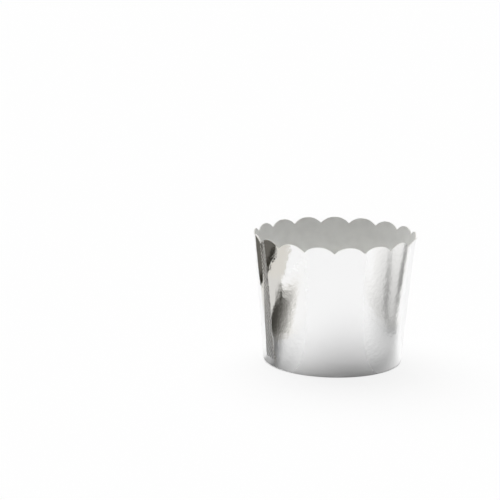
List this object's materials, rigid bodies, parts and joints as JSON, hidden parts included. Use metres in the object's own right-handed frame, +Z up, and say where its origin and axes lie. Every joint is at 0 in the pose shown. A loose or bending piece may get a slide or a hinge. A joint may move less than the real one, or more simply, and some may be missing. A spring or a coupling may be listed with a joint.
{
  "type": "cupcake liner",
  "caption": "Round, tapered baking cup of foil-faced card with a scalloped rim, a lap seam and a raised base held in a folded hem.",
  "frame": {"origin": "centre of the foot ring, on the surface that the cup stands on", "axes": "+Z up out of the mouth; -Y is the side that faces the viewer in the picture; the lap seam is in the -X, -Y quarter"},
  "size_m": [0.0599, 0.0599, 0.0485],
  "materials": {
    "foil_card": "mirror silver film outside, matte white paper inside",
    "white_card": "matte white paper"
  },
  "bodies": {
    "root": {"wall": "foil_card", "base": "white_card"}
  },
  "joints": []
}
